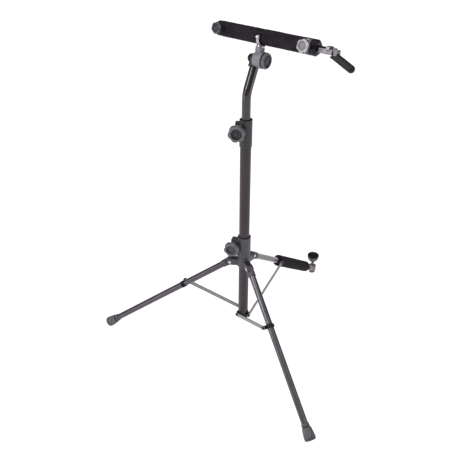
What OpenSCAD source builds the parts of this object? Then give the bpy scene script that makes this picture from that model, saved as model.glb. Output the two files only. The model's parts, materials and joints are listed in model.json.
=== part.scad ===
// Folding tripod work stand: a column on three legs, a bent mast that telescopes in the column,
// and a padded head beam on a tilting joint. Millimetres, Z up, floor at z = 0.

/* [Column and mast] */
// Outside diameter of the column tube
column_d = 35; // [34:0.5:35.5]
// Wall of the column tube
column_wall = 1.7; // [1.5:0.1:1.9]
// Height of the column's lower end above the floor
column_bottom = 108; // [104:1:110]
// Height of the column's upper end above the floor
column_top = 866; // [850:2:880]
// Outside diameter of the mast tube
mast_d = 27.2; // [26:0.1:27.6]
// Height of the mast tube's lower end, inside the column
mast_bottom = 566; // [520:2:600]
// Height at which the mast's two straight parts would meet
mast_bend_z = 947; // [940:1:960]
// Angle of the bend in the mast
mast_bend = 26; // [15:1:30]

/* [Tripod] */
// Slope of the legs below the horizontal
leg_slope = 35.5; // [34:0.5:37]
// Height of the leg pivots above the floor
leg_pivot_z = 347.9; // [344.9:0.5:350.9]
// Distance of the leg pivots from the column's axis
leg_pivot_r = 48.4; // [47.9:0.5:49.9]
// Outside diameter of the leg tubes
leg_d = 22; // [20:0.5:22.5]
// Distance from leg pivot to stay bolt, along the leg
stay_bolt_s = 206; // [200:1:206]
// Height of the stays' lower pins above the floor
stay_base_z = 114; // [112:1:116]
// Start of the foam sleeve on the rear leg, from the pivot
foam_start = 214; // [214:1:240]
// End of the foam sleeve on the rear leg, from the pivot
foam_end = 491; // [431:5:491]

/* [Head] */
// Direction in which the mast leans, about the column's axis
head_azimuth = 58; // [0:1:359]
// Lean of the stem from the vertical
stem_lean = 15; // [0:1:30]
// Height of the beam's axis above the tilt bolt
beam_h = 63; // [62:0.5:70]
// Outside diameter of the padded sleeve
sleeve_d = 44.4; // [44:0.2:45]
// Left end of the padded sleeve, from the tilt bolt's plane
sleeve_left = -148; // [-180:1:-142]
// Right end of the padded sleeve, from the tilt bolt's plane
sleeve_right = 150; // [146:1:150]
// Slope of the rubber arm below the beam's axis
arm_slope = 23; // [15:1:35]

/* [Hidden] */
$fn = 64;

// Plan position of the column's axis, so that the origin is under the middle of the whole stand
column_x = 118.66;
column_y = -1.59;

fit = 0.05;     // radial running or sliding clearance
gap = 0.3;      // clearance between faces that pass each other
azimuth_a = 180;
azimuth_b = 300;
azimuth_c = 60;

column_r = column_d / 2;
column_bore = column_r - column_wall;
mast_r = mast_d / 2;
mast_bore = mast_r - 1.6;
leg_r = leg_d / 2;
leg_bore = leg_r - 1.5;

// Mast: an arc joins the lower straight part to the leaning upper one
bend_radius = 90;
bend_tangent = bend_radius * tan(mast_bend / 2);
tilt_distance = 103;     // from the bend's corner to the tilt bolt
mast_top_gap = 26;       // from the tube's end to the tilt bolt
tilt_r = tilt_distance * sin(mast_bend);
tilt_z = mast_bend_z + tilt_distance * cos(mast_bend);
bolt_r = 4;

// Clamps
collar_bottom = 782;
collar_top = column_top + 4;
collar_r = 19.8;
collar_screw_r = 24.5;
collar_screw_z = 836;
hub_bottom = 371.3;
hub_top = 452;
hub_r = 22.5;
hub_screw_r = 34;
hub_screw_z = 413;
hub_clamp_azimuth = 170;
liner_r = 19.2;
spider_bottom = 333;
spider_r = 23;

// Legs
pin_r = 4;
tongue_w = 12;
lug_w = 4.5;
lug_r = 12;
socket_r = 13;
socket_start = 12.6;
socket_end = 29;
tube_start = 17;
foot_end = 580;
tube_end = 574;
tube_end_c = 552;
level_r = 512;
boss_bottom = 9;
boss_top = 32;
level_screw_r = 5;

// Stays: flat bars that stand beside the legs and meet the base bracket off its axis
stay_offset = 24;
stay_t = 3;
stay_h = 14;
stay_bolt_r = 3;
stay_top_x = leg_pivot_r + stay_bolt_s * cos(leg_slope);
stay_top_z = leg_pivot_z - stay_bolt_s * sin(leg_slope);
stay_slope = atan2(stay_top_z - stay_base_z, stay_top_x);
stay_length = norm([stay_top_x, stay_top_z - stay_base_z]);

// Head
sleeve_r = sleeve_d / 2;
beam_r = 15.9;
beam_bore = 13.9;
rod_r = 8;
housing_right = 194.5;
tilt_knob_x = 27.6;
stem_x = 6;
saddle_x = 8;
star_x = 168;
end_knob_x = -131;
arm_bolt_x = 226.5;
arm_bolt_z = 5;
clevis_w = 10;
link_block_x = 244;
link_block_z = -10;
link_block = [10.5, 2 * clevis_w, 16];
grip_start = [250, -13];
grip_core_r = 6;

// Frames

module stand() { translate([column_x, column_y, 0]) children(); }

module leg_plane(azimuth) { stand() rotate([0, 0, azimuth]) children(); }

// X runs down along the leg from its pivot, Y is the pivot's axis
module leg_frame(azimuth) {
    leg_plane(azimuth) translate([leg_pivot_r, 0, leg_pivot_z]) rotate([0, leg_slope, 0]) children();
}

// X runs along the stay from its bolt on the leg to its pin on the base
module stay_frame(azimuth) {
    leg_plane(azimuth) translate([stay_top_x, 0, stay_top_z])
        rotate([0, 180 - stay_slope, 0]) children();
}

// Origin on the tilt bolt, X along the bolt, Z leaning back from the vertical
module tilt_frame(lean) {
    stand() rotate([0, 0, head_azimuth]) translate([tilt_r, 0, tilt_z])
        rotate([0, lean, 0]) rotate([0, 0, -90]) children();
}

module head_frame() { tilt_frame(stem_lean) children(); }

// Origin on the beam's axis, X along the beam, -Y to the front
module beam_frame() { head_frame() translate([0, 0, beam_h]) children(); }

// Origin on the arm's bolt, X down along the rubber arm's slope
module arm_frame() { beam_frame() translate([arm_bolt_x, 0, arm_bolt_z]) children(); }

// X points from the tube's axis through the clamp's ears, Y along its screw towards the knob
module clamp_frame(azimuth, height) {
    stand() rotate([0, 0, azimuth]) translate([0, 0, height]) children();
}

module along_x() { rotate([0, 90, 0]) children(); }

module along_y() { rotate([-90, 0, 0]) children(); }

// Shapes

module tube(r, bore, h) {
    difference() {
        cylinder(r = r, h = h);
        translate([0, 0, -1]) cylinder(r = bore, h = h + 2);
    }
}

// A rod along Y from y0 to y1
module cross_rod(r, y0, y1) { translate([0, y0, 0]) along_y() cylinder(r = r, h = y1 - y0); }

// A star-shaped hand knob along +Z on a round neck, with a dished face
module lobed_knob(r, lobes, h, neck_r, neck_h, bore) {
    scallop_r = r * 0.42;
    dish_r = r * 0.6;
    dish_h = 4;
    blind = h - dish_h - 3;
    difference() {
        union() {
            cylinder(r = neck_r, h = neck_h + 1);
            translate([0, 0, neck_h]) linear_extrude(h - neck_h) difference() {
                circle(r);
                for (i = [0:lobes - 1]) rotate(360 / lobes * (i + 0.5))
                    translate([r * 1.28, 0]) circle(scallop_r);
            }
        }
        translate([0, 0, h - dish_h]) cylinder(r1 = dish_r - 3, r2 = dish_r + 0.1, h = dish_h + 0.1);
        translate([0, 0, -1]) cylinder(r = bore, h = blind + 1);
    }
}

// Sleeve with a slit and two ears for a screw
module split_clamp(r, bore, h, ear_x, ear_w, ear_z0, ear_z1, screw_x, screw_z) {
    slit = 3;
    difference() {
        union() {
            cylinder(r = r, h = h);
            translate([0, -ear_w / 2, ear_z0]) cube([ear_x, ear_w, ear_z1 - ear_z0]);
        }
        translate([0, 0, -1]) cylinder(r = bore, h = h + 2);
        translate([0, -slit / 2, -1]) cube([ear_x + 1, slit, h + 2]);
        translate([screw_x, 0, screw_z]) cross_rod(bolt_r + fit, -ear_w, ear_w);
    }
}

// Screw through the ears, with its head on the side away from the knob
module clamp_screw(x, z, ear_w, head_r, head_h, reach) {
    translate([x, 0, z]) {
        cross_rod(bolt_r, -ear_w / 2 - 1, reach);
        cross_rod(head_r, -ear_w / 2 - gap - head_h, -ear_w / 2 - gap);
    }
}

// Column

module column_tube() {
    color([0.27, 0.24, 0.27]) stand() translate([0, 0, column_bottom])
        tube(column_r, column_bore, column_top - column_bottom);
}

// A cup under the column, with a slotted pad on each side for a stay's pin
module base_bracket() {
    bracket_r = 19.6;
    cup_floor = 3;
    pad_w = 18;
    pad_y = stay_offset - stay_t / 2 - gap;
    groove_w = 11;
    groove_y = column_r + 0.4;
    bottom = column_bottom - cup_floor;
    top = stay_base_z + 9;
    color([0.12, 0.12, 0.13]) stand() difference() {
        union() {
            translate([0, 0, bottom]) cylinder(r = bracket_r, h = top - bottom);
            for (azimuth = [azimuth_a, azimuth_b, azimuth_c]) rotate([0, 0, azimuth])
                translate([-pad_w / 2, -pad_y, bottom]) cube([pad_w, pad_y, top - bottom]);
        }
        translate([0, 0, column_bottom - gap]) cylinder(r = column_r + fit, h = top);
        for (azimuth = [azimuth_a, azimuth_b, azimuth_c]) rotate([0, 0, azimuth])
            translate([-groove_w / 2, -pad_y - 1, bottom - 1])
                cube([groove_w, pad_y + 1 - groove_y, stay_base_z + stay_bolt_r + 3 - bottom]);
    }
}

module top_collar() {
    ear_w = 20;
    lip_r = mast_r + 1;
    color([0.2, 0.18, 0.2]) clamp_frame(180, collar_bottom) difference() {
        split_clamp(collar_r, lip_r, collar_top - collar_bottom, 32, ear_w, 32, 78,
            collar_screw_r, collar_screw_z - collar_bottom);
        translate([0, 0, -1]) cylinder(r = column_r + fit, h = column_top - collar_bottom + 1.2);
    }
}

module collar_bush() {
    bush_h = 80;
    color([0.08, 0.08, 0.09]) stand() translate([0, 0, column_top - bush_h])
        tube(column_bore - fit, mast_r + fit, bush_h);
}

module collar_screw() {
    color([0.2, 0.2, 0.21]) clamp_frame(180, 0)
        clamp_screw(collar_screw_r, collar_screw_z, 20, 7, 5, 34);
}

module collar_knob() {
    color([0.45, 0.45, 0.47]) clamp_frame(180, collar_screw_z)
        translate([collar_screw_r, 11, 0]) along_y() lobed_knob(27, 6, 32, 7, 9.3, bolt_r + fit);
}

// Mast

module mast_guide() {
    color([0.1, 0.1, 0.1]) stand() translate([0, 0, mast_bottom - 14]) {
        cylinder(r = column_bore - fit, h = 14 - gap);
        cylinder(r = mast_bore - fit, h = 64);
    }
}

module mast_tube() {
    straight = mast_bend_z - bend_tangent - mast_bottom;
    upper = tilt_distance - bend_tangent - mast_top_gap;
    color([0.42, 0.4, 0.43]) stand() rotate([0, 0, head_azimuth]) {
        translate([0, 0, mast_bottom]) tube(mast_r, mast_bore, straight);
        translate([bend_radius, 0, mast_bottom + straight]) rotate([90, 0, 180])
            rotate_extrude(angle = mast_bend) translate([bend_radius, 0]) difference() {
                circle(mast_r);
                circle(mast_bore);
            }
        translate([tilt_r, 0, tilt_z]) rotate([0, mast_bend, 0])
            translate([0, 0, -mast_top_gap - upper]) tube(mast_r, mast_bore, upper);
    }
}

module lower_knuckle() {
    cheek_x0 = -14;
    cheek_w = 13.4;
    cheek_r = 14.5;
    color([0.16, 0.15, 0.17]) tilt_frame(mast_bend) difference() {
        union() {
            translate([cheek_x0, 0, 0]) along_x() cylinder(r = cheek_r, h = cheek_w);
            translate([cheek_x0, -12, -mast_top_gap + gap]) cube([cheek_w, 24, mast_top_gap]);
            translate([0, 0, -mast_top_gap + gap]) cylinder(r = mast_r + 0.6, h = 1.4);
            translate([0, 0, -mast_top_gap - 40]) cylinder(r = mast_bore - fit, h = 41);
        }
        translate([-20, 0, 0]) along_x() cylinder(r = bolt_r + fit, h = 30);
    }
}

module tilt_bolt() {
    color([0.06, 0.06, 0.07]) tilt_frame(mast_bend) difference() {
        union() {
            translate([-27, 0, 0]) along_x() cylinder(r1 = 8, r2 = 12, h = 4.5);
            translate([-22.5, 0, 0]) along_x() cylinder(r = 12, h = 8.2);
            translate([-15, 0, 0]) along_x() cylinder(r = bolt_r, h = tilt_knob_x + 19.5);
        }
        translate([-28, 0, 0]) along_x() cylinder(r = 4, h = 4, $fn = 6);
    }
}

module tilt_knob() {
    color([0.36, 0.35, 0.37]) tilt_frame(mast_bend) translate([tilt_knob_x, 0, 0]) along_x()
        lobed_knob(24, 12, 12, 13, 2, bolt_r + fit);
}

// Head

module upper_knuckle() {
    color([0.48, 0.47, 0.5]) head_frame() difference() {
        union() {
            along_x() cylinder(r = 24, h = tilt_knob_x - 0.6);
            translate([stem_x, 0, 20]) cylinder(r = 13.7, h = 14);
        }
        translate([-1, 0, 0]) along_x() cylinder(r = bolt_r + fit, h = 40);
        translate([-12, 0, 0]) along_x() cylinder(r = 25, h = 12);
        translate([stem_x, 0, 26]) cylinder(r = 12.5 + fit, h = 20);
    }
}

module stem_tube() {
    color([0.7, 0.7, 0.72]) head_frame() difference() {
        translate([stem_x, 0, 26 + gap]) tube(12.5, 10.5, 20);
        translate([-30, 0, beam_h]) along_x() cylinder(r = sleeve_r + 3.6, h = 80);
    }
}

module beam_saddle() {
    half_w = 8;
    color([0.14, 0.14, 0.15]) beam_frame() difference() {
        translate([saddle_x - half_w, 0, 0]) along_x()
            tube(sleeve_r + 3.3, sleeve_r + gap, 2 * half_w);
        translate([saddle_x - half_w - 1, -40, 7]) cube([2 * half_w + 2, 80, 40]);
        translate([saddle_x, 0, -2]) cross_rod(3 + fit, -40, 40);
    }
}

module saddle_bolt() {
    color([0.8, 0.8, 0.82]) beam_frame() translate([saddle_x, 0, -2]) {
        cross_rod(3, -sleeve_r - 3.5, sleeve_r + 8);
        translate([0, -sleeve_r - 7.5, 0]) along_y() cylinder(r1 = 3.5, r2 = 6, h = 4);
        translate([0, sleeve_r + 3.5, 0]) along_y() cylinder(r = 5.5, h = 4.5, $fn = 6);
    }
}

module beam_tube() {
    color([0.3, 0.3, 0.31]) beam_frame() difference() {
        translate([sleeve_left, 0, 0]) along_x() tube(beam_r, beam_bore, 190 - sleeve_left);
        translate([saddle_x, 0, -2]) cross_rod(3.2, -20, 20);
        translate([star_x, 0, 0]) cross_rod(4.3, -20, 0);
        translate([end_knob_x, 0, 0]) cross_rod(4.3, -20, 0);
    }
}

module beam_sleeve() {
    color([0.07, 0.065, 0.07]) beam_frame() difference() {
        translate([sleeve_left, 0, 0]) along_x()
            tube(sleeve_r, beam_r + gap, sleeve_right - sleeve_left);
        translate([saddle_x, 0, -2]) cross_rod(3.5, -30, 30);
        translate([end_knob_x, 0, 0]) cross_rod(9, -30, 0);
    }
}

module beam_end_cap() {
    color([0.06, 0.06, 0.06]) beam_frame() translate([sleeve_left - gap, 0, 0]) along_x() {
        translate([0, 0, -3]) cylinder(r = sleeve_r - 1, h = 3);
        cylinder(r = beam_bore - fit, h = 12);
    }
}

module end_housing() {
    chamfer = 6;
    left = sleeve_right + gap;
    color([0.07, 0.07, 0.075]) beam_frame() difference() {
        union() {
            translate([left, 0, 0]) along_x()
                cylinder(r = sleeve_r, h = housing_right - chamfer - left);
            translate([housing_right - chamfer, 0, 0]) along_x()
                cylinder(r1 = sleeve_r, r2 = sleeve_r - chamfer, h = chamfer);
        }
        translate([left - 1, 0, 0]) along_x() cylinder(r = beam_r + fit, h = 191 + gap - left);
        translate([left, 0, 0]) along_x() cylinder(r = rod_r + fit, h = 60);
        translate([star_x, 0, 0]) cross_rod(4.3, -40, 0);
        for (side = [-1, 1]) translate([star_x, 0, 0]) rotate([side * 42, 0, 0])
            cross_rod(1.8, -40, -16.5);
    }
}

module clamp_flange() {
    color([0.33, 0.32, 0.35]) beam_frame() difference() {
        union() {
            intersection() {
                translate([star_x - 8, 0, 0]) along_x() cylinder(r = sleeve_r + 3, h = 16);
                translate([star_x - 8, -40, -20]) cube([16, 30, 40]);
            }
            translate([star_x, 0, 0]) cross_rod(11, -sleeve_r - 6, -10);
        }
        translate([star_x - 20, 0, 0]) along_x() cylinder(r = sleeve_r + fit, h = 40);
        translate([star_x, 0, 0]) cross_rod(bolt_r + fit, -40, 0);
        for (side = [-1, 1]) translate([star_x, 0, 0]) rotate([side * 42, 0, 0])
            cross_rod(1.8, -40, 0);
    }
}

module flange_screws() {
    color([0.8, 0.8, 0.82]) beam_frame() for (side = [-1, 1])
        translate([star_x, 0, 0]) rotate([side * 42, 0, 0]) {
            cross_rod(1.7, -sleeve_r - 3.2, -17);
            cross_rod(3.2, -sleeve_r - 5.2, -sleeve_r - 3.1);
        }
}

module end_boss() {
    color([0.2, 0.2, 0.21]) beam_frame() difference() {
        translate([end_knob_x, 0, 0]) cross_rod(8, -27, -10);
        translate([end_knob_x - 20, 0, 0]) along_x() cylinder(r = beam_r + fit, h = 40);
        translate([end_knob_x, 0, 0]) cross_rod(bolt_r + fit, -40, 0);
    }
}

module star_knob() {
    color([0.78, 0.77, 0.8]) beam_frame() translate([star_x, -sleeve_r - 6.5, 0])
        rotate([90, 0, 0]) lobed_knob(18.5, 6, 18, 8, 10, bolt_r);
}

module star_knob_screw() {
    color([0.7, 0.7, 0.72]) beam_frame() translate([star_x, 0, 0])
        cross_rod(bolt_r, -sleeve_r - 17, -rod_r - gap);
}

module end_knob() {
    color([0.38, 0.38, 0.4]) beam_frame() translate([end_knob_x, -27.3, 0])
        rotate([90, 0, 0]) lobed_knob(17.5, 6, 18, 8, 9.5, bolt_r);
}

module end_knob_screw() {
    color([0.5, 0.5, 0.52]) beam_frame() translate([end_knob_x, 0, 0])
        cross_rod(bolt_r, -38, -11);
}

module extension_rod() {
    color([0.2, 0.2, 0.21]) beam_frame() translate([60, 0, 0]) along_x()
        cylinder(r = rod_r, h = 152.5);
}

// Open cradle under the rod's end, running on into a channel that the arm's bolt crosses
module arm_clevis() {
    wall = 2;
    bottom = -10.5;
    top = 3;
    left = 198;
    right = 240;
    rod_stop = 213;
    ear_r = 7;
    color([0.72, 0.72, 0.74]) beam_frame() difference() {
        translate([0, clevis_w, 0]) rotate([90, 0, 0]) linear_extrude(2 * clevis_w) union() {
            translate([left, bottom]) square([right - left, top - bottom]);
            translate([arm_bolt_x, arm_bolt_z]) circle(ear_r);
        }
        translate([rod_stop, wall - clevis_w, bottom + wall])
            cube([right, 2 * (clevis_w - wall), 40]);
        translate([left - 1, 0, 0]) along_x() cylinder(r = rod_r + fit, h = rod_stop - left + 2);
        translate([arm_bolt_x, 0, arm_bolt_z]) cross_rod(bolt_r + fit, -20, 20);
    }
}

module arm_bolt() {
    face = clevis_w + 0.2;
    nut_h = 3.8;
    color([0.85, 0.85, 0.87]) arm_frame() {
        cross_rod(bolt_r, -face, face + nut_h);
        translate([0, -face - 3.3, 0]) along_y() cylinder(r1 = 4.5, r2 = 7, h = 3.3);
        cross_rod(6.5, face, face + nut_h);
    }
}

module arm_link() {
    half_w = 7.4;
    knuckle_r = 7;
    bar_h = 10;
    color([0.66, 0.66, 0.68]) beam_frame() difference() {
        union() {
            translate([arm_bolt_x, 0, arm_bolt_z]) cross_rod(knuckle_r, -half_w, half_w);
            translate([arm_bolt_x, -half_w, arm_bolt_z - knuckle_r + 1])
                cube([link_block_x + 1 - arm_bolt_x, 2 * half_w, bar_h]);
            translate([link_block_x, -clevis_w, link_block_z]) cube(link_block);
            translate([grip_start[0], 0, grip_start[1]]) rotate([0, 90 + arm_slope, 0])
                cylinder(r = grip_core_r, h = 40);
        }
        translate([arm_bolt_x, 0, arm_bolt_z]) cross_rod(bolt_r + fit, -20, 20);
    }
}

// The sleeve starts under the channel, and is cut back so that it clears the channel as it swings
module arm_grip() {
    grip_r = 10.5;
    grip_l = 54;
    back = 22;
    swing_r = 21.4;
    color([0.06, 0.06, 0.06]) beam_frame() difference() {
        translate([grip_start[0], 0, grip_start[1]]) rotate([0, 90 + arm_slope, 0]) difference() {
            union() {
                translate([0, 0, -back]) cylinder(r = grip_r, h = grip_l + back);
                translate([0, 0, grip_l]) sphere(r = grip_r);
            }
            translate([0, 0, -1]) cylinder(r = grip_core_r + fit, h = 42);
        }
        translate([arm_bolt_x, 0, arm_bolt_z]) cross_rod(swing_r, -20, 20);
        translate([link_block_x - 40, -20, link_block_z - gap])
            cube([40 + link_block[0] + gap, 40, 60]);
    }
}

// Hub

module hub_collar() {
    color([0.3, 0.28, 0.32]) clamp_frame(hub_clamp_azimuth, hub_bottom)
        split_clamp(hub_r, liner_r + fit, hub_top - hub_bottom, 43, 22, 26, 66,
            hub_screw_r, hub_screw_z - hub_bottom);
}

module hub_spider() {
    lug_y = tongue_w / 2 + gap;
    color([0.33, 0.31, 0.35]) stand() difference() {
        union() {
            translate([0, 0, spider_bottom]) cylinder(r = spider_r, h = hub_bottom - gap - spider_bottom);
            for (azimuth = [azimuth_a, azimuth_b, azimuth_c]) rotate([0, 0, azimuth])
                for (y0 = [lug_y, -lug_y - lug_w]) {
                    translate([15, y0, leg_pivot_z - lug_r])
                        cube([leg_pivot_r - 15, lug_w, 2 * lug_r]);
                    translate([leg_pivot_r, 0, leg_pivot_z]) cross_rod(lug_r, y0, y0 + lug_w);
                }
        }
        translate([0, 0, spider_bottom - 1]) cylinder(r = liner_r + fit, h = 60);
        for (azimuth = [azimuth_a, azimuth_b, azimuth_c]) rotate([0, 0, azimuth])
            translate([leg_pivot_r, 0, leg_pivot_z]) cross_rod(pin_r + fit, -20, 20);
    }
}

module hub_liner() {
    color([0.08, 0.08, 0.09]) stand() translate([0, 0, spider_bottom + 1])
        tube(liner_r, column_r + fit, hub_top - spider_bottom - 2);
}

module hub_screw() {
    color([0.08, 0.08, 0.09]) clamp_frame(hub_clamp_azimuth, 0)
        clamp_screw(hub_screw_r, hub_screw_z, 22, 7, 5, 30);
}

module hub_knob() {
    color([0.4, 0.39, 0.42]) clamp_frame(hub_clamp_azimuth, hub_screw_z)
        translate([hub_screw_r, 12, 0]) along_y() lobed_knob(27, 6, 30, 13, 11, bolt_r + fit);
}

module leg_pins() {
    reach = tongue_w / 2 + gap + lug_w;
    color([0.75, 0.75, 0.77]) for (azimuth = [azimuth_a, azimuth_b, azimuth_c])
        leg_plane(azimuth) translate([leg_pivot_r, 0, leg_pivot_z]) {
            cross_rod(pin_r, -reach - 1, reach + 1);
            cross_rod(5.5, -reach - 2.5, -reach - 0.1);
            cross_rod(5.5, reach + 0.1, reach + 2.5);
        }
}

// Legs

module leg_socket(azimuth) {
    color([0.3, 0.29, 0.32]) leg_frame(azimuth) difference() {
        union() {
            cross_rod(lug_r, -tongue_w / 2, tongue_w / 2);
            translate([0, -tongue_w / 2, -lug_r]) cube([socket_start + 4, tongue_w, 2 * lug_r]);
            translate([socket_start, 0, 0]) along_x()
                cylinder(r = socket_r, h = socket_end - socket_start);
        }
        cross_rod(pin_r + fit, -20, 20);
        translate([tube_start, 0, 0]) along_x() cylinder(r = leg_r + fit, h = socket_end);
    }
}

module leg_tube(azimuth, end) {
    color([0.4, 0.39, 0.42]) leg_frame(azimuth) difference() {
        translate([tube_start + gap, 0, 0]) along_x() tube(leg_r, leg_bore, end - tube_start);
        translate([stay_bolt_s, 0, 0]) cross_rod(stay_bolt_r + fit, -20, 20);
    }
}

module foot(azimuth) {
    color([0.4, 0.4, 0.42]) intersection() {
        leg_frame(azimuth) along_x() rotate_extrude() polygon([
            [0, tube_end + 1], [0, foot_end], [16, foot_end], [19, foot_end - 8],
            [18, foot_end - 22], [13.5, foot_end - 42], [13, foot_end - 54],
            [leg_r + fit, foot_end - 54], [leg_r + fit, tube_end + 1]
        ]);
        translate([-1000, -1000, 0]) cube([2000, 2000, 200]);
    }
}

module foam_grip() {
    color([0.07, 0.065, 0.07]) leg_frame(azimuth_c) translate([foam_start, 0, 0]) along_x()
        tube(22, leg_r + gap, foam_end - foam_start);
}

module levelling_boss() {
    sleeve_start = foam_end + 30;
    color([0.5, 0.5, 0.52]) difference() {
        union() {
            leg_plane(azimuth_c) translate([level_r, 0, boss_bottom])
                cylinder(r = 15.2, h = boss_top - boss_bottom);
            leg_frame(azimuth_c) translate([sleeve_start, 0, 0]) along_x()
                cylinder(r = 13, h = 40);
        }
        leg_plane(azimuth_c) translate([level_r, 0, -1])
            cylinder(r = level_screw_r + fit, h = boss_top + 30);
        leg_frame(azimuth_c) translate([sleeve_start - 1, 0, 0]) along_x()
            cylinder(r = leg_r + fit, h = tube_end_c + 1.5 - sleeve_start);
    }
}

module levelling_screw() {
    color([0.6, 0.6, 0.62]) leg_plane(azimuth_c) translate([level_r, 0, 4])
        cylinder(r = level_screw_r, h = 68);
}

module levelling_knob() {
    knob_z = 52;
    knob_h = 35;
    knob_r = 24.5;
    neck_r = 9;
    cone_h = 13;
    color([0.08, 0.08, 0.09]) leg_plane(azimuth_c) translate([level_r, 0, knob_z]) difference() {
        union() {
            cylinder(r1 = neck_r, r2 = knob_r - 2, h = cone_h);
            translate([0, 0, cone_h]) cylinder(r1 = knob_r - 2, r2 = knob_r, h = knob_h - cone_h);
        }
        translate([0, 0, -1]) cylinder(r = level_screw_r + fit, h = 22);
        translate([0, 0, knob_h - 7]) cylinder(r1 = 14, r2 = 19, h = 7.1);
    }
}

module levelling_pad() {
    pad_r = 12.5;
    color([0.35, 0.35, 0.36]) leg_plane(azimuth_c) translate([level_r, 0, 0]) difference() {
        union() {
            cylinder(r = pad_r, h = 5);
            translate([0, 0, 5]) cylinder(r1 = pad_r, r2 = 9, h = 3);
        }
        translate([0, 0, 4 - fit]) cylinder(r = level_screw_r + fit, h = 10);
    }
}

// Stays

// Bolt through the leg, with a spacer that holds the stay clear of it
module stay_bolt(azimuth) {
    stay_inner = stay_offset - stay_t / 2;
    stay_outer = stay_offset + stay_t / 2;
    spacer_r = 6.5;
    color([0.1, 0.1, 0.11]) leg_frame(azimuth) translate([stay_bolt_s, 0, 0]) {
        cross_rod(stay_bolt_r, -stay_outer - 1, leg_r + 1);
        cross_rod(5.5, -stay_outer - 3.5, -stay_outer - gap);
        cross_rod(5, leg_r + 0.1, leg_r + 3);
        difference() {
            cross_rod(spacer_r, -stay_inner + gap, -leg_r / 2);
            translate([-20, 0, 0]) along_x() cylinder(r = leg_r + fit, h = 40);
        }
    }
}

module stay(azimuth) {
    end_r = stay_h / 2;
    color([0.62, 0.62, 0.63]) stay_frame(azimuth) difference() {
        translate([0, -stay_offset - stay_t / 2, 0]) {
            along_y() cylinder(r = end_r, h = stay_t);
            translate([0, 0, -end_r]) cube([stay_length, stay_t, stay_h]);
            translate([stay_length, 0, 0]) along_y() cylinder(r = end_r, h = stay_t);
        }
        cross_rod(stay_bolt_r + fit, -30, 0);
        translate([stay_length, 0, 0]) cross_rod(stay_bolt_r + fit, -30, 0);
    }
}

// The pin's inner end sits in the bracket's groove, which is open downwards
module stay_pin(azimuth) {
    outer = stay_offset + stay_t / 2;
    color([0.12, 0.12, 0.13]) stay_frame(azimuth) translate([stay_length, 0, 0]) {
        cross_rod(stay_bolt_r, -outer - 1, -outer + stay_t + 1.2);
        cross_rod(5.5, -outer - 3, -outer - 0.1);
    }
}

column_tube();
base_bracket();
top_collar();
collar_bush();
collar_screw();
collar_knob();
mast_guide();
mast_tube();
lower_knuckle();
tilt_bolt();
tilt_knob();
upper_knuckle();
stem_tube();
beam_saddle();
saddle_bolt();
beam_tube();
beam_sleeve();
beam_end_cap();
end_housing();
clamp_flange();
flange_screws();
end_boss();
star_knob();
star_knob_screw();
end_knob();
end_knob_screw();
extension_rod();
arm_clevis();
arm_bolt();
arm_link();
arm_grip();
hub_collar();
hub_spider();
hub_liner();
hub_screw();
hub_knob();
leg_pins();
leg_socket(azimuth_a);  // leg_socket_a
leg_socket(azimuth_b);  // leg_socket_b
leg_socket(azimuth_c);  // leg_socket_c
leg_tube(azimuth_a, tube_end);  // leg_tube_a
leg_tube(azimuth_b, tube_end);  // leg_tube_b
leg_tube(azimuth_c, tube_end_c);  // leg_tube_c
foot(azimuth_a);  // foot_a
foot(azimuth_b);  // foot_b
foam_grip();
levelling_boss();
levelling_screw();
levelling_knob();
levelling_pad();
stay_bolt(azimuth_a);  // stay_bolt_a
stay_bolt(azimuth_b);  // stay_bolt_b
stay_bolt(azimuth_c);  // stay_bolt_c
stay(azimuth_a);  // stay_a
stay(azimuth_b);  // stay_b
stay(azimuth_c);  // stay_c
stay_pin(azimuth_a);  // stay_pin_a
stay_pin(azimuth_b);  // stay_pin_b
stay_pin(azimuth_c);  // stay_pin_c
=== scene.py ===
import json
import math

import bmesh
import bpy
from mathutils import Matrix, Vector, noise

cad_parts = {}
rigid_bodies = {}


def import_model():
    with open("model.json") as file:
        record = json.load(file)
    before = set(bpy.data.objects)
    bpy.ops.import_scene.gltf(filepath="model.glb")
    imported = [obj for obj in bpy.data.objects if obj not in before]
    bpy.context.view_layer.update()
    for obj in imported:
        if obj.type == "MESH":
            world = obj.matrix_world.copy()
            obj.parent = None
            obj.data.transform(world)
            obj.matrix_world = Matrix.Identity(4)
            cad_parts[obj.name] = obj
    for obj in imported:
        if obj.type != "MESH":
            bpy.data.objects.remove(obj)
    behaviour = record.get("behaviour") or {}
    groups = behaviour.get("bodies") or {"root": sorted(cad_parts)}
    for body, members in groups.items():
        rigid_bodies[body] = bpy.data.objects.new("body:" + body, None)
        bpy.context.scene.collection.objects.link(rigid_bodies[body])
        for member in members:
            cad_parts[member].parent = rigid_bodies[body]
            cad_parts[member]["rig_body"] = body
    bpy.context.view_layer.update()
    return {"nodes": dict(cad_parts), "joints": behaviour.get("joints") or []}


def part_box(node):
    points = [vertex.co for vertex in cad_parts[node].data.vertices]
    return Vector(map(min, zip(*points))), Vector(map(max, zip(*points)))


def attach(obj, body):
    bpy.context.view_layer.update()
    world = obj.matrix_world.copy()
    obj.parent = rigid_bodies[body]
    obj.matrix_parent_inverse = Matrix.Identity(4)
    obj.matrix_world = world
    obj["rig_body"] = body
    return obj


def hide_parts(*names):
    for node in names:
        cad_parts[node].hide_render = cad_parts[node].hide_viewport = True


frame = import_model()

NODES = frame["nodes"]
JOINTS = {j["name"]: j for j in frame["joints"]}
MM = 0.001
LEG_NAMES = "abc"


# Places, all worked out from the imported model

def local_frame(origin, z_axis, x_hint):
    """Matrix whose Z runs along z_axis and whose X is as near to x_hint as it can be."""
    z = Vector(z_axis).normalized()
    x = Vector(x_hint)
    x = (x - x.dot(z) * z).normalized()
    turn = Matrix((x, z.cross(x), z)).transposed().to_4x4()
    return Matrix.Translation(Vector(origin)) @ turn


def joint_point(name):
    return Vector(JOINTS[name]["pos_m"])


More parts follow.
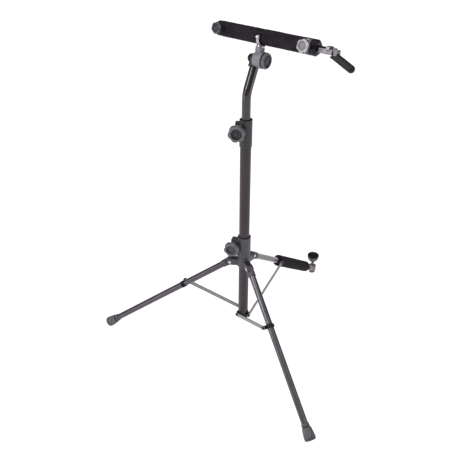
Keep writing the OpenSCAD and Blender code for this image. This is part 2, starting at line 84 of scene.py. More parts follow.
def joint_axis(name):
    return Vector(JOINTS[name]["axis"]).normalized()


def middle(node):
    low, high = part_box(node)
    return (low + high) / 2


def reach(node, place):
    """Lowest and highest Z of a CAD node in a local frame, and its largest radius about Z."""
    inverse = place.inverted()
    points = [inverse @ v.co for v in NODES[node].data.vertices]
    heights = [p.z for p in points]
    return min(heights), max(heights), max(math.hypot(p.x, p.y) for p in points)


COLUMN_AXIS = middle("column_tube")
BEAM_AXIS = joint_axis("head_tilt")
HEAD_FRONT = joint_axis("star_knob_turn")
HEAD_UP = HEAD_FRONT.cross(BEAM_AXIS)
BEAM = local_frame(middle("beam_sleeve"), BEAM_AXIS, HEAD_UP)


def leg_frame(leg):
    """Origin on the leg's pivot, Z down along the leg, X upwards."""
    pivot = joint_point(f"leg_{leg}_fold")
    return local_frame(pivot, joint_point(f"stay_{leg}_fold") - pivot, (0, 0, 1))


# Materials

class Finish:
    """A Principled material whose textures use the piece's own coordinates, in metres."""

    def __init__(self, name, **sockets):
        self.material = bpy.data.materials.new(name)
        self.material.use_nodes = True
        self.tree = self.material.node_tree
        self.shader = self.tree.nodes["Principled BSDF"]
        for socket, value in sockets.items():
            self.shader.inputs[socket.replace("_", " ")].default_value = value
        self.coordinates = self.tree.nodes.new("ShaderNodeTexCoord").outputs["Object"]

    def node(self, kind, **settings):
        made = self.tree.nodes.new(kind)
        for key, value in settings.items():
            setattr(made, key, value)
        return made

    def link(self, source, target):
        self.tree.links.new(source, target)

    def turned(self, place, stretch=(1, 1, 1)):
        """Coordinates in a local frame, with each axis stretched."""
        angles = place.to_quaternion().inverted().to_euler()
        rotate = self.node("ShaderNodeMapping", vector_type="POINT")
        rotate.inputs["Rotation"].default_value = angles
        self.link(self.coordinates, rotate.inputs["Vector"])
        scale = self.node("ShaderNodeMapping", vector_type="POINT")
        scale.inputs["Scale"].default_value = stretch
        self.link(rotate.outputs["Vector"], scale.inputs["Vector"])
        return scale.outputs["Vector"]

    def noise(self, size, detail=3.0, roughness=0.55, where=None):
        """Soft noise with features about size metres across."""
        made = self.node("ShaderNodeTexNoise")
        made.inputs["Scale"].default_value = 1 / size
        made.inputs["Detail"].default_value = detail
        made.inputs["Roughness"].default_value = roughness
        self.link(where or self.coordinates, made.inputs["Vector"])
        return made.outputs["Fac"]

    def cells(self, size):
        """Distance from the middle of cells about size metres across."""
        made = self.node("ShaderNodeTexVoronoi")
        made.inputs["Scale"].default_value = 1 / size
        self.link(self.coordinates, made.inputs["Vector"])
        return made.outputs["Distance"]

    def span(self, value, low, high, start=0.0, end=1.0):
        """Maps value from start..end onto low..high."""
        made = self.node("ShaderNodeMapRange", clamp=True)
        self.link(value, made.inputs["Value"])
        limits = {"From Min": start, "From Max": end, "To Min": low, "To Max": high}
        for socket, number in limits.items():
            made.inputs[socket].default_value = number
        return made.outputs["Result"]

    def blend(self, share, first, second):
        """Colour between two colours or sockets."""
        made = self.node("ShaderNodeMix", data_type="RGBA")
        self.link(share, made.inputs["Factor"])
        for socket, colour in ((made.inputs[6], first), (made.inputs[7], second)):
            if isinstance(colour, bpy.types.NodeSocket):
                self.link(colour, socket)
            else:
                socket.default_value = (*colour, 1)
        return made.outputs[2]

    def colour(self, socket):
        self.link(socket, self.shader.inputs["Base Color"])

    def roughness(self, socket):
        self.link(socket, self.shader.inputs["Roughness"])

    def bump(self, height, depth, strength=1.0, under=None):
        """Raises the surface by depth metres where height is 1."""
        made = self.node("ShaderNodeBump")
        made.inputs["Strength"].default_value = strength
        made.inputs["Distance"].default_value = depth
        self.link(height, made.inputs["Height"])
        if under:
            self.link(under, made.inputs["Normal"])
        self.link(made.outputs["Normal"], self.shader.inputs["Normal"])
        return made.outputs["Normal"]


TUBE_STREAKS = (1, 1, 0.04)
GRINDING_LINES = (1, 1, 0.03)
FOAM_STRETCH = (1, 1, 0.5)


def lacquer(name, place, deep, light, gloss, metal, coat, shine):
    """Sprayed tube: faint streaks along the tube, orange peel and a few handling marks."""
    finish = Finish(
        name, Metallic=metal, Coat_Weight=coat, Coat_Roughness=0.06, Specular_IOR_Level=shine
    )
    along = finish.turned(place, TUBE_STREAKS)
    streaks = finish.noise(3 * MM, 4, where=along)
    cloud = finish.noise(45 * MM, 2)
    finish.colour(finish.blend(finish.span(cloud, 0.1, 0.9, 0.3, 0.7), deep, light))
    rubbed = finish.span(finish.noise(14 * MM, 6, 0.65, along), 0, 0.14, 0.56, 0.74)
    worn = finish.node("ShaderNodeMath", operation="ADD")
    finish.link(finish.span(streaks, gloss - 0.03, gloss + 0.05, 0.3, 0.7), worn.inputs[0])
    finish.link(rubbed, worn.inputs[1])
    finish.roughness(worn.outputs[0])
    finish.bump(finish.noise(1.6 * MM, 1), 0.02 * MM, 0.5)
    return finish.material


def steel(name, tint, gloss, place=None, mottled=0.0):
    """Plated steel: fine grinding lines and the slight cloudiness of zinc."""
    finish = Finish(name, Metallic=1.0)
    where = finish.turned(place, GRINDING_LINES) if place else None
    lines = finish.noise(0.7 * MM, 3, where=where)
    cloud = finish.noise(9 * MM, 4, 0.6)
    dull = [c * (0.8 - 0.2 * mottled) for c in tint]
    finish.colour(finish.blend(finish.span(cloud, 0, 1, 0.38, 0.66), dull, tint))
    finish.roughness(finish.span(lines, gloss, gloss + 0.16, 0.3, 0.7))
    finish.bump(lines, 0.02 * MM, 0.6)
    return finish.material


def moulded(name, deep, light, rough, shine=0.42):
    """Moulded plastic: a spark-eroded grain, with paler dust in its cloudier areas."""
    grain = 0.35 * MM
    finish = Finish(name, Specular_IOR_Level=shine)
    cloud = finish.noise(11 * MM, 4, 0.6)
    finish.colour(finish.blend(finish.span(cloud, 0, 1, 0.35, 0.68), deep, light))
    fine = finish.cells(grain)
    finish.roughness(finish.span(finish.noise(5 * MM, 5), rough - 0.06, rough + 0.08, 0.3, 0.7))
    under = finish.bump(finish.noise(2.2 * MM, 2), 0.03 * MM, 0.35)
    finish.bump(fine, 0.05 * MM, 0.5, under)
    return finish.material


def foam(name, place):
    """Closed-cell foam: open pores, pressed shine on the high spots and a matt, dusty body."""
    # The pores are painted near black: painted shade in the hollows.
    pore_shade = (0.004, 0.004, 0.004)
    clean = (0.011, 0.008, 0.0115)
    dusty = (0.026, 0.020, 0.027)
    finish = Finish(name, Specular_IOR_Level=0.12)
    pores = finish.cells(1.1 * MM)
    body = finish.noise(18 * MM, 5, 0.62, finish.turned(place, FOAM_STRETCH))
    tone = finish.blend(finish.span(body, 0, 1, 0.36, 0.68), clean, dusty)
    finish.colour(finish.blend(finish.span(pores, 0, 1, 0.05, 0.45), pore_shade, tone))
    finish.roughness(finish.span(body, 0.78, 0.95, 0.3, 0.7))
    under = finish.bump(finish.noise(4 * MM, 4), 0.25 * MM, 0.5)
    finish.bump(pores, 0.35 * MM, 0.8, under)
    return finish.material


def rubber(name, deep, light, rough):
    """Moulded rubber with a fine bloom and scuffs from the floor."""
    finish = Finish(name, Specular_IOR_Level=0.25)
    bloom = finish.noise(7 * MM, 6, 0.65)
    finish.colour(finish.blend(finish.span(bloom, 0, 1, 0.36, 0.7), deep, light))
    finish.roughness(finish.span(finish.noise(2.5 * MM, 4), rough - 0.08, rough + 0.1, 0.3, 0.7))
    finish.bump(finish.noise(0.6 * MM, 3), 0.08 * MM, 0.5)
    return finish.material


def link_steel(name, deep, light):
    """Plated steel with painted shade: dark inside the channel, and unshaded past the channel's end."""
    finish = Finish(name, Metallic=1.0)
    along = finish.node("ShaderNodeSeparateXYZ")
    finish.link(finish.turned(BEAM), along.inputs[0])
    channel_end = BEAM.translation.dot(BEAM_AXIS) + reach("arm_clevis", BEAM)[1]
    # Mask of the painted shade: 0 inside the channel, where the link is painted dark, and 1 past the
    # channel's end.
    clean = finish.span(along.outputs["Z"], 0, 1, channel_end - 1 * MM, channel_end + 1 * MM)
    cloud = finish.span(finish.noise(6 * MM, 5, 0.6), 0, 1, 0.36, 0.66)
    dull = [0.7 * c for c in light]
    finish.colour(finish.blend(clean, deep, finish.blend(cloud, dull, light)))
    finish.roughness(finish.span(finish.noise(0.8 * MM, 3), 0.22, 0.38, 0.3, 0.7))
    return finish.material


UPRIGHT = local_frame(COLUMN_AXIS, (0, 0, 1), (1, 0, 0))
STEM = local_frame(BEAM.translation, HEAD_UP, BEAM_AXIS)
LEGS = {leg: leg_frame(leg) for leg in LEG_NAMES}
# Leg c's paler colour is a painted reflection of the bright surroundings on its glossy dark lacquer.
LEG_TONES_AND_REFLECTION = {"a": (0.072, 0.064, 0.076), "b": (0.072, 0.064, 0.076), "c": (0.125, 0.112, 0.130)}
LEG_WEAR = 1.38  # how much lighter the rubbed parts of a leg are

column_enamel = lacquer(
    "column_enamel", UPRIGHT, (0.026, 0.018, 0.025), (0.038, 0.028, 0.037),
    gloss=0.30, metal=0.1, coat=0.0, shine=0.34,
)
mast_lacquer = lacquer(
    "mast_lacquer", UPRIGHT, (0.014, 0.009, 0.013), (0.022, 0.015, 0.021),
    gloss=0.10, metal=0.2, coat=0.45, shine=0.5,
)
leg_lacquer = {
    leg: lacquer(
        f"leg_{leg}_lacquer", LEGS[leg], deep, [LEG_WEAR * c for c in deep],
        gloss=0.12, metal=0.65, coat=0.15, shine=0.3,
    )
    for leg, deep in LEG_TONES_AND_REFLECTION.items()
}
zinc = steel("zinc_plate", (0.26, 0.25, 0.26), 0.28, mottled=0.6)
bright = steel("bright_plate", (0.55, 0.53, 0.56), 0.18)
channel_steel = steel("channel_steel", (0.175, 0.165, 0.181), 0.2, mottled=0.9)
# The first colour is painted shade, for the part of the link that lies inside the channel.
arm_link_steel = link_steel("link_steel", (0.030, 0.026, 0.031), (0.125, 0.118, 0.130))
nut_steel = steel("nut_steel", (0.24, 0.23, 0.25), 0.2, mottled=0.6)
stem_steel = steel("stem_steel", (0.46, 0.44, 0.48), 0.2, STEM)
black_steel = steel("black_oxide", (0.018, 0.016, 0.019), 0.26)
grey_nylon = moulded("grey_nylon", (0.085, 0.080, 0.094), (0.125, 0.118, 0.136), 0.42)
end_nylon = moulded("end_nylon", (0.050, 0.045, 0.055), (0.078, 0.072, 0.084), 0.40)
knuckle_nylon = moulded("knuckle_nylon", (0.15, 0.143, 0.163), (0.21, 0.20, 0.225), 0.46)
boss_nylon = moulded("boss_nylon", (0.15, 0.132, 0.146), (0.21, 0.188, 0.205), 0.44)
hub_nylon = moulded("hub_nylon", (0.045, 0.039, 0.049), (0.066, 0.059, 0.071), 0.40)
dark_nylon = moulded("dark_nylon", (0.020, 0.017, 0.021), (0.032, 0.028, 0.034), 0.4)
black_plastic = moulded("black_plastic", (0.0052, 0.0036, 0.0050), (0.0105, 0.0078, 0.0102), 0.3, 0.2)
knuckle_black = moulded("knuckle_black", (0.007, 0.0052, 0.0068), (0.0125, 0.0098, 0.0122), 0.22, 0.4)
silver_plastic = moulded("silver_plastic", (0.34, 0.32, 0.36), (0.46, 0.44, 0.48), 0.3)
# Painted shade for the dish and the neck of the star knob.
star_dish_shade = moulded("star_dish_shade", (0.17, 0.16, 0.18), (0.24, 0.23, 0.25), 0.34)
sleeve_foam = foam("sleeve_foam", BEAM)
leg_foam = foam("leg_foam", LEGS["c"])
foot_rubber = rubber("foot_rubber", (0.075, 0.072, 0.080), (0.125, 0.121, 0.132), 0.58)
grip_rubber = rubber("grip_rubber", (0.0062, 0.0038, 0.0058), (0.0115, 0.0078, 0.0108), 0.46)


def paint(material, *nodes):
    """Gives CAD nodes one material."""
    for node in nodes:
        slots = NODES[node].data.materials
        slots.clear()
        slots.append(material)


paint(column_enamel, "column_tube")
paint(mast_lacquer, "mast_tube")
for leg, material in leg_lacquer.items():
    paint(material, f"leg_tube_{leg}")
paint(zinc, "stay_a", "stay_b", "stay_c", "levelling_screw", "end_knob_screw")
paint(channel_steel, "arm_clevis")
paint(arm_link_steel, "arm_link")
paint(bright, "leg_pins", "saddle_bolt", "flange_screws", "star_knob_screw", "beam_tube")
paint(nut_steel, "arm_bolt")
paint(stem_steel, "stem_tube")
paint(black_steel, "tilt_bolt", "collar_screw", "hub_screw", "beam_saddle", "extension_rod")
for leg in LEG_NAMES:
    paint(black_steel, f"stay_bolt_{leg}", f"stay_pin_{leg}")
    paint(hub_nylon, f"leg_socket_{leg}")
paint(knuckle_nylon, "upper_knuckle")
paint(grey_nylon, "collar_knob", "hub_knob", "tilt_knob", "clamp_flange")
paint(end_nylon, "end_knob")
paint(boss_nylon, "levelling_boss")
paint(hub_nylon, "hub_collar", "hub_spider")
paint(dark_nylon, "top_collar", "end_boss")
paint(knuckle_black, "lower_knuckle")
paint(black_plastic, "base_bracket", "collar_bush", "hub_liner", "mast_guide", "beam_end_cap")
paint(black_plastic, "end_housing", "levelling_knob")
paint(silver_plastic, "star_knob")
paint(foot_rubber, "foot_a", "foot_b", "levelling_pad")
paint(grip_rubber, "arm_grip")


def soften(width, *nodes):
    """Rounds the hard edges of CAD nodes with modifiers, which leave their meshes as they are."""
    for node in nodes:
        weld = NODES[node].modifiers.new("weld", "WELD")
        weld.merge_threshold = 0.004 * MM
        bevel = NODES[node].modifiers.new("soft_edges", "BEVEL")
        bevel.width = width
        bevel.segments = 2
        bevel.limit_method = "ANGLE"
        bevel.angle_limit = math.radians(38)
        bevel.use_clamp_overlap = True
        normals = NODES[node].modifiers.new("smooth_faces", "WEIGHTED_NORMAL")
        normals.keep_sharp = False


soften(0.9 * MM, "hub_collar", "hub_spider", "top_collar", "upper_knuckle", "lower_knuckle")
soften(0.9 * MM, "levelling_boss")
soften(0.6 * MM, "clamp_flange", "end_boss", "base_bracket", "arm_link", "levelling_pad")
soften(0.6 * MM, "collar_screw", "hub_screw", "end_housing", "tilt_bolt", "beam_end_cap")
soften(0.6 * MM, "leg_socket_a", "leg_socket_b", "leg_socket_c")
soften(0.4 * MM, "arm_clevis", "beam_saddle", "stay_a", "stay_b", "stay_c")
soften(0.4 * MM, "saddle_bolt", "arm_bolt", "leg_pins")


# Meshes

def fillet(points, steps=5):
    """Outline through (radius, height) points. A point's third value is the size of its fillet."""
    outline = []
    for i, (r, z, *rounding) in enumerate(points):
        here = Vector((r, z))
        if not rounding or i in (0, len(points) - 1):
            outline.append(here)
            continue
        before = (Vector(points[i - 1][:2]) - here)
        after = (Vector(points[i + 1][:2]) - here)
        size = min(rounding[0], before.length * 0.48, after.length * 0.48)
        start = here + before.normalized() * size
        end = here + after.normalized() * size
        for k in range(steps + 1):
            t = k / steps
            outline.append(start * (1 - t) ** 2 + here * 2 * t * (1 - t) + end * t * t)
    return outline


def revolve(name, outline, place, segments=96, shape=None):
    """Mesh of revolution about the local Z.

    shape(angle, radius, height) returns the radius and height that a point of a ring really has.
    """
    rows = []
    verts = []
    for r, z in outline:
        if r < 1e-7:
            rows.append([len(verts)])
            verts.append(place @ Vector((0, 0, z)))
            continue
        row = []
        for k in range(segments):
            angle = math.tau * k / segments
            radius, height = shape(angle, r, z) if shape else (r, z)
            row.append(len(verts))
            verts.append(place @ Vector((radius * math.cos(angle), radius * math.sin(angle), height)))
        rows.append(row)
    faces = []
    for low, high in zip(rows, rows[1:]):
        for k in range(segments):
            n = (k + 1) % segments
            if len(low) == 1 and len(high) == 1:
                break
            if len(low) == 1:
                faces.append((low[0], high[n], high[k]))
            elif len(high) == 1:
                faces.append((low[k], low[n], high[0]))
            else:
                faces.append((low[k], low[n], high[n], high[k]))
    return smooth_mesh(name, verts, faces)


def smooth_mesh(name, verts, faces):
    """Smooth-shaded object with its normals outwards."""
    mesh = bpy.data.meshes.new(name)
    mesh.from_pydata(verts, [], faces)
    mesh.validate()
    tidy = bmesh.new()
    tidy.from_mesh(mesh)
    bmesh.ops.recalc_face_normals(tidy, faces=tidy.faces)
    tidy.to_mesh(mesh)
    tidy.free()
    mesh.polygons.foreach_set("use_smooth", [True] * len(mesh.polygons))
    piece = bpy.data.objects.new(name, mesh)
    bpy.context.scene.collection.objects.link(piece)
    return piece


def fit_out(piece, material, node):
    """Gives a piece its material, and lets it stand for a CAD node on that node's body."""
    piece.data.materials.append(material)
    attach(piece, NODES[node]["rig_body"])
    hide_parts(node)
    return piece


def second_material(piece, material, place, chosen):
    """Gives a second material to faces where chosen(radius, height, angle) of their middle is true."""
    piece.data.materials.append(material)
    inverse = place.inverted()
    for face in piece.data.polygons:
        at = inverse @ face.center
        if chosen(math.hypot(at.x, at.y), at.z, math.atan2(at.y, at.x)):
            face.material_index = 1


def hand_knob(name, node, joint, material, dish_shade, lobes, depth, neck, dish, cap):
    """Moulded hand knob with rounded lobes, a dished face and a raised cap in the dish.

    depth is how deep the valleys are, as a share of the radius. neck and dish are each a radius and
    a height, and cap is the cap's radius. The neck and the dish get a darker second material, which
    is painted shade for the hollow of the dish and the space under the knob.
    """
    place = local_frame(joint_point(joint), joint_axis(joint), (0.3, 0.2, 1))
    low, high, radius = reach(node, place)
    neck_r, neck_h = neck
    dish_r, dish_h = dish
    shoulder = low + neck_h
    widest = shoulder + 0.35 * (high - shoulder)
    floor = high - dish_h
    ring_outer = 0.55 * dish_r + 0.45 * cap
    ring_inner = 0.45 * dish_r + 0.55 * cap
    ring_top = floor + 0.9 * MM
    valley_sharpness = 1.7
    outline = fillet([
        (0, low),
        (neck_r, low, 0.8 * MM),
        (neck_r, shoulder, 2.5 * MM),
        (radius - 2 * MM, shoulder + 1.5 * MM, 3 * MM),
        (radius, widest, 5 * MM),
        (radius, high - 3 * MM, 4 * MM),
        (radius - 2.5 * MM, high, 3 * MM),
        (dish_r, high, 1.2 * MM),
        (dish_r - 1.5 * MM, floor, 1.2 * MM),
        (ring_outer + 1 * MM, floor, 0.4 * MM),
        (ring_outer, ring_top, 0.5 * MM),
        (ring_inner, ring_top, 0.5 * MM),
        (ring_inner - 1 * MM, floor, 0.4 * MM),
        (cap, floor, 0.8 * MM),
        (cap - 0.8 * MM, floor + 1.6 * MM, 1 * MM),
        (0, floor + 2.1 * MM),
    ])

    def lobed(angle, r, z):
        share = min(1, max(0, (r - dish_r) / (radius - dish_r)))
        if z < low + neck_h * 0.98:
            share = 0
        valley = (0.5 - 0.5 * math.cos(lobes * angle)) ** valley_sharpness
        return r * (1 - depth * share * valley), z

    def in_dish_or_neck(r, z, angle):
        in_dish = z > (low + high) / 2 and r < dish_r - 0.3 * MM
        return in_dish or z < shoulder - 0.5 * MM

    knob = fit_out(revolve(name, outline, place, 144, lobed), material, node)
    second_material(knob, dish_shade, place, in_dish_or_neck)


# Each knob's second material is painted shade in its dish and neck.
hand_knob("collar_hand_knob", "collar_knob", "collar_knob_turn", grey_nylon, dark_nylon,
          lobes=6, depth=0.12, neck=(9 * MM, 9 * MM), dish=(17 * MM, 7 * MM), cap=7 * MM)
hand_knob("hub_hand_knob", "hub_knob", "hub_knob_turn", grey_nylon, hub_nylon,
          lobes=6, depth=0.12, neck=(13 * MM, 10 * MM), dish=(17 * MM, 6 * MM), cap=7 * MM)
hand_knob("tilt_hand_knob", "tilt_knob", "tilt_knob_turn", grey_nylon, dark_nylon,
          lobes=12, depth=0.05, neck=(13 * MM, 2 * MM), dish=(18 * MM, 4 * MM), cap=8 * MM)
hand_knob("star_hand_knob", "star_knob", "star_knob_turn", silver_plastic, star_dish_shade,
          lobes=6, depth=0.13, neck=(8 * MM, 9.5 * MM), dish=(13 * MM, 2.5 * MM), cap=6 * MM)
hand_knob("end_hand_knob", "end_knob", "end_knob_turn", end_nylon, dark_nylon,
          lobes=6, depth=0.13, neck=(8 * MM, 9 * MM), dish=(12 * MM, 2.5 * MM), cap=6 * MM)


def stem_tab():
    """Tapered steel tab that runs from the stem up the front of the beam to the saddle bolt."""
    low, high, radius = reach("beam_saddle", BEAM)
    centre = BEAM @ Vector((0, 0, (low + high) / 2))
    inner_r = radius - 0.6 * MM
    outer_r = radius + 0.9 * MM
    edge_drop = 0.5 * MM
    root_half_w = 5.6 * MM
    tip_half_w = 3.7 * MM
    root_angle = 78
    tip_angle = -10
    round_share = 0.14
    rows = 26
    stations = (-1, -0.86, 0.86, 1)
    skins = []
    for skin in (inner_r, outer_r):
        for k in range(rows + 1):
            t = k / rows
            below_front = math.radians(root_angle + (tip_angle - root_angle) * t)
            out = HEAD_FRONT * math.cos(below_front) - HEAD_UP * math.sin(below_front)
            into_tip = max(0, (t - 1 + round_share) / round_share)
            rounding = math.sqrt(max(0, 1 - into_tip ** 2))
            half_w = (root_half_w + (tip_half_w - root_half_w) * t) * max(rounding, 0.05)
            for side in stations:
                drop = edge_drop if abs(side) == 1 and skin == outer_r else 0
                skins.append(centre + out * (skin - drop) + BEAM_AXIS * half_w * side)
    across = len(stations)
    layer = across * (rows + 1)
    faces = []
    for k in range(rows):
        row = across * k
        edge = row + across - 1
        for c in range(row, edge):
            faces.append((layer + c, layer + c + 1, layer + c + across + 1, layer + c + across))
            faces.append((c + across, c + across + 1, c + 1, c))
        faces.append((row, layer + row, layer + row + across, row + across))
        faces.append((edge + across, layer + edge + across, layer + edge, edge))
    for c in range(across - 1):
        end = across * rows + c
        faces.append((c, c + 1, layer + c + 1, layer + c))
        faces.append((end + 1, end, layer + end, layer + end + 1))
    tab = smooth_mesh("stem_tab", skins, faces)
    tab.data.materials.append(stem_steel)
    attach(tab, NODES["beam_saddle"]["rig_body"])


stem_tab()


# Feet

def rubber_foot(leg):
    """Boot with a ring at its neck, a flared end and a slotted sole, flat on the floor."""
    node = f"foot_{leg}"
    place = LEGS[leg]
    low, high, radius = reach(node, place)
    outline = fillet([
        (11.05 * MM, low + 1 * MM),
        (12.6 * MM, low, 0.8 * MM),
        (13.4 * MM, low + 9 * MM, 1 * MM),
        (12.4 * MM, low + 10 * MM, 0.6 * MM),
        (12.4 * MM, low + 12 * MM, 0.6 * MM),
        (14.8 * MM, low + 13 * MM, 1.2 * MM),
        (18.0 * MM, high - 20 * MM, 9 * MM),
        (radius - 0.2 * MM, high - 9 * MM, 5 * MM),
        (radius - 1.2 * MM, high - 2.5 * MM, 2.5 * MM),
        (radius - 6 * MM, high, 3 * MM),
        (0, high),
    ], 6)
    slots = 12
    slot_start = high - 11 * MM
    slot_depth = 2.6 * MM

    def slotted(angle, r, z):
        if z > slot_start and r > radius - 7 * MM and math.cos(slots * angle) > 0.45:
            return r - slot_depth, z
        return r, z

    # Faces in the slots of the sole are painted black, as painted shade in the grooves; the band in the
    # neck groove is black too.
    def in_slot_or_neck(r, z, angle):
        on_sole_edge = z > slot_start and radius - 8 * MM < r < radius - 1.6 * MM
        in_neck = low + 9.6 * MM < z < low + 12.4 * MM
        return in_neck or (on_sole_edge and math.cos(slots * angle) > 0.4)

    foot = revolve(f"boot_{leg}", outline, place, 144, slotted)
    for vertex in foot.data.vertices:
        vertex.co.z = max(vertex.co.z, 0)
    fit_out(foot, foot_rubber, node)
    second_material(foot, black_plastic, place, in_slot_or_neck)


for leg in "ab":
    rubber_foot(leg)


# Clamp bands around the legs, where the stays are bolted on

def stay_band(leg):
    """Black band around the leg tube, with a rolled edge at each end."""
    bolt = LEGS[leg].inverted() @ joint_point(f"stay_{leg}_fold")
    bore_r = 11.06 * MM
    waist_r = 12.3 * MM
    rim_r = 12.9 * MM
    half_l = 7 * MM
    rim_inside = 5.2 * MM
    waist_half_l = 4.4 * MM
    outline = fillet([
        (bore_r, bolt.z - half_l),
        (rim_r, bolt.z - half_l, 0.6 * MM),
        (rim_r, bolt.z - rim_inside, 0.6 * MM),
        (waist_r, bolt.z - waist_half_l, 0.6 * MM),
        (waist_r, bolt.z + waist_half_l, 0.6 * MM),
        (rim_r, bolt.z + rim_inside, 0.6 * MM),
        (rim_r, bolt.z + half_l, 0.6 * MM),
        (bore_r, bolt.z + half_l),
        (bore_r, bolt.z - half_l),
    ], 4)
    band = revolve(f"stay_band_{leg}", outline, LEGS[leg], 96)
    band.data.materials.append(black_plastic)
    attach(band, NODES[f"stay_bolt_{leg}"]["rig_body"])


for leg in LEG_NAMES:
    stay_band(leg)


# Levelling foot

LEVEL = local_frame(middle("levelling_screw"), (0, 0, 1), (1, 0, 0))


def ribbed_cup():
    """Cup-shaped hand knob: a short neck, a ribbed grey skirt, and a black rim around a recessed top."""
    low, high, radius = reach("levelling_knob", LEVEL)
    bore_r = 5.06 * MM
    neck_r = 9 * MM
    skirt_r = 20 * MM
    recess = high - 6 * MM
    rib_count = 20
    rib_depth = 0.9 * MM
    ribs_start_r = 14 * MM
    ribs_fade = 5 * MM
    outline = fillet([
        (bore_r, low + 1 * MM),
        (neck_r, low, 1 * MM),
        (neck_r, low + 3 * MM, 2 * MM),
        (skirt_r, low + 12 * MM, 4 * MM),
        (radius - 1.4 * MM, high - 14 * MM, 3 * MM),
        (radius, high - 4 * MM, 2 * MM),
        (radius - 0.6 * MM, high - 0.6 * MM, 1.2 * MM),
        (radius - 3 * MM, high, 1 * MM),
        (radius - 5 * MM, high - 1.2 * MM, 1 * MM),
        (radius - 8 * MM, recess, 1.5 * MM),
        (7 * MM, recess, 1 * MM),
        (6 * MM, high - 2.6 * MM, 1 * MM),
        (0, high - 2.2 * MM),
    ], 6)

    def ribs(angle, r, z):
        share = max(0, min(1, (r - ribs_start_r) / ribs_fade)) * (1 if z < high - 1 * MM else 0.4)
        return r - rib_depth * share * (0.5 + 0.5 * math.cos(rib_count * angle)), z

    def on_skirt(r, z, angle):
        return low + 5 * MM < z < high - 7 * MM and r > 11 * MM

    cup = revolve("levelling_cup", outline, LEVEL, 160, ribs)
    fit_out(cup, black_plastic, "levelling_knob")
    second_material(cup, grey_nylon, LEVEL, on_skirt)


ribbed_cup()


# Foam

def foam_sleeve(name, node, place, material, seed, press=()):
    """Foam tube with rounded ends, uneven skin, and a waist wherever something presses it.

    press lists each waist's height, width and depth.
    """
    low, high, radius = reach(node, place)
    bore = min(math.hypot(*(place.inverted() @ v.co)[:2]) for v in NODES[node].data.vertices)
    rounding = 6 * MM
    chamfer = 1.5 * MM
    rows = 110
    lumps_around = 2.2
    lump_length = 22 * MM
    lump = 0.45 * MM
    dimple = 0.16 * MM
    dimples_per_lump = 4.1
    inset = 0.35 * MM
    quarter_turn = [math.radians(9 * k) for k in range(11)]
    body = high - low - 2 * rounding
    outline = [(bore, low + chamfer), (bore + chamfer, low)]
    for a in quarter_turn:
        outline.append((radius - rounding * (1 - math.sin(a)), low + rounding * (1 - math.cos(a))))
    outline += [(radius, low + rounding + body * k / rows) for k in range(1, rows)]
    for a in quarter_turn:
        outline.append((radius - rounding * (1 - math.cos(a)), high - rounding * (1 - math.sin(a))))
    outline += [(bore + chamfer, high), (bore, high - chamfer), (bore, low + chamfer)]

    def soft(angle, r, z):
        if r < radius - rounding:
            return r, z
        spot = Vector((math.cos(angle) * lumps_around, math.sin(angle) * lumps_around, z / lump_length))
        swell = noise.noise(spot + Vector((seed, 0, 0))) * lump
        swell += noise.noise(spot * dimples_per_lump + Vector((0, seed, 0))) * dimple
        waist = sum(depth * math.exp(-((z - at) / width) ** 2) for at, width, depth in press)
        return r - inset + swell - waist, z

    piece = revolve(name, outline, place, 112, soft)
    fit_out(piece, material, node)
    return piece


saddle_at = (BEAM.inverted() @ middle("saddle_bolt")).z
foam_sleeve("beam_foam", "beam_sleeve", BEAM, sleeve_foam, seed=3.1, press=[(saddle_at, 9 * MM, 0.5 * MM)])
foam_sleeve("leg_foam_grip", "foam_grip", LEGS["c"], leg_foam, seed=7.7)


# Stage

def area_light(name, place, target, size, power):
    """Rectangular softbox at a place, aimed at a target."""
    light = bpy.data.lights.new(name, "AREA")
    light.shape = "RECTANGLE"
    light.size, light.size_y = size
    light.energy = power
    lamp = bpy.data.objects.new(name, light)
    lamp.location = place
    lamp.rotation_euler = (Vector(target) - Vector(place)).to_track_quat("-Z", "Y").to_euler()
    bpy.context.scene.collection.objects.link(lamp)


def pale_floor():
    """White paper floor that glows a little, so that it stays white under soft light."""
    half = 30.0
    mesh = bpy.data.meshes.new("floor")
    corners = [(-half, -half, 0), (half, -half, 0), (half, half, 0), (-half, half, 0)]
    mesh.from_pydata(corners, [], [(0, 1, 2, 3)])
    floor = bpy.data.objects.new("floor", mesh)
    bpy.context.scene.collection.objects.link(floor)
    paper = Finish(
        "floor_paper", Roughness=0.9, Base_Color=(0.3, 0.3, 0.3, 1), Specular_IOR_Level=0.1,
        Emission_Color=(1, 1, 1, 1), Emission_Strength=0.95,
    )
    mesh.materials.append(paper.material)


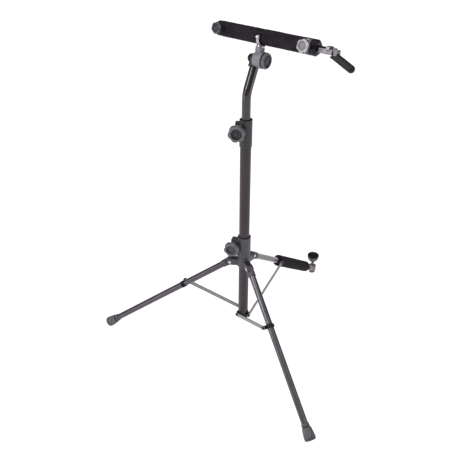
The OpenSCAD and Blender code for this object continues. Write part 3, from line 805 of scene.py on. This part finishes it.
def studio_world():
    """Dim even light from all round, in front of a backdrop that the camera sees as white."""
    ambient = 0.22
    seen_white = 1.0
    world = bpy.data.worlds.new("studio")
    world.use_nodes = True
    nodes = world.node_tree.nodes
    links = world.node_tree.links
    backdrop = nodes["Background"]
    backdrop.inputs["Color"].default_value = (1, 1, 1, 1)
    rays = nodes.new("ShaderNodeLightPath")
    level = nodes.new("ShaderNodeMapRange")
    level.inputs["To Min"].default_value = ambient
    level.inputs["To Max"].default_value = seen_white
    links.new(rays.outputs["Is Camera Ray"], level.inputs["Value"])
    links.new(level.outputs["Result"], backdrop.inputs["Strength"])
    bpy.context.scene.world = world
    bpy.context.scene.view_settings.view_transform = "Standard"


def sky_light():
    """Very wide overhead sun, which gives soft light without a visible shadow edge."""
    sun = bpy.data.lights.new("sky", "SUN")
    sun.energy = 1.0
    sun.angle = math.radians(90)
    sky = bpy.data.objects.new("sky", sun)
    sky.rotation_euler = (math.radians(14), math.radians(-12), 0)
    bpy.context.scene.collection.objects.link(sky)


pale_floor()
studio_world()
sky_light()
area_light("top_box", (0.5, -0.9, 3.2), (0.1, 0, 0.4), (2.4, 0.5), 16)
area_light("high_strip", (-1.9, -1.9, 2.7), (0.1, 0, 0.9), (0.4, 1.6), 26)
area_light("left_box", (-2.4, -1.6, 1.6), (0.1, 0, 0.8), (1.3, 2.8), 28)
area_light("right_box", (2.4, -0.7, 1.7), (0.1, 0, 0.8), (0.5, 2.4), 12)

def front_camera():
    """Camera that looks down at the front of the stand. Its place is measured from the column."""
    right = 0.1585
    back = 1.6465
    height = 1.5431
    pitch = 57.17
    turn = 7.16
    camera = bpy.data.cameras.new("camera")
    camera.lens = 46.0
    camera.sensor_width = 36.0
    eye = bpy.data.objects.new("camera", camera)
    eye.location = (COLUMN_AXIS.x + right, COLUMN_AXIS.y - back, height)
    eye.rotation_euler = (math.radians(pitch), 0, math.radians(turn))
    bpy.context.scene.collection.objects.link(eye)
    bpy.context.scene.camera = eye


front_camera()
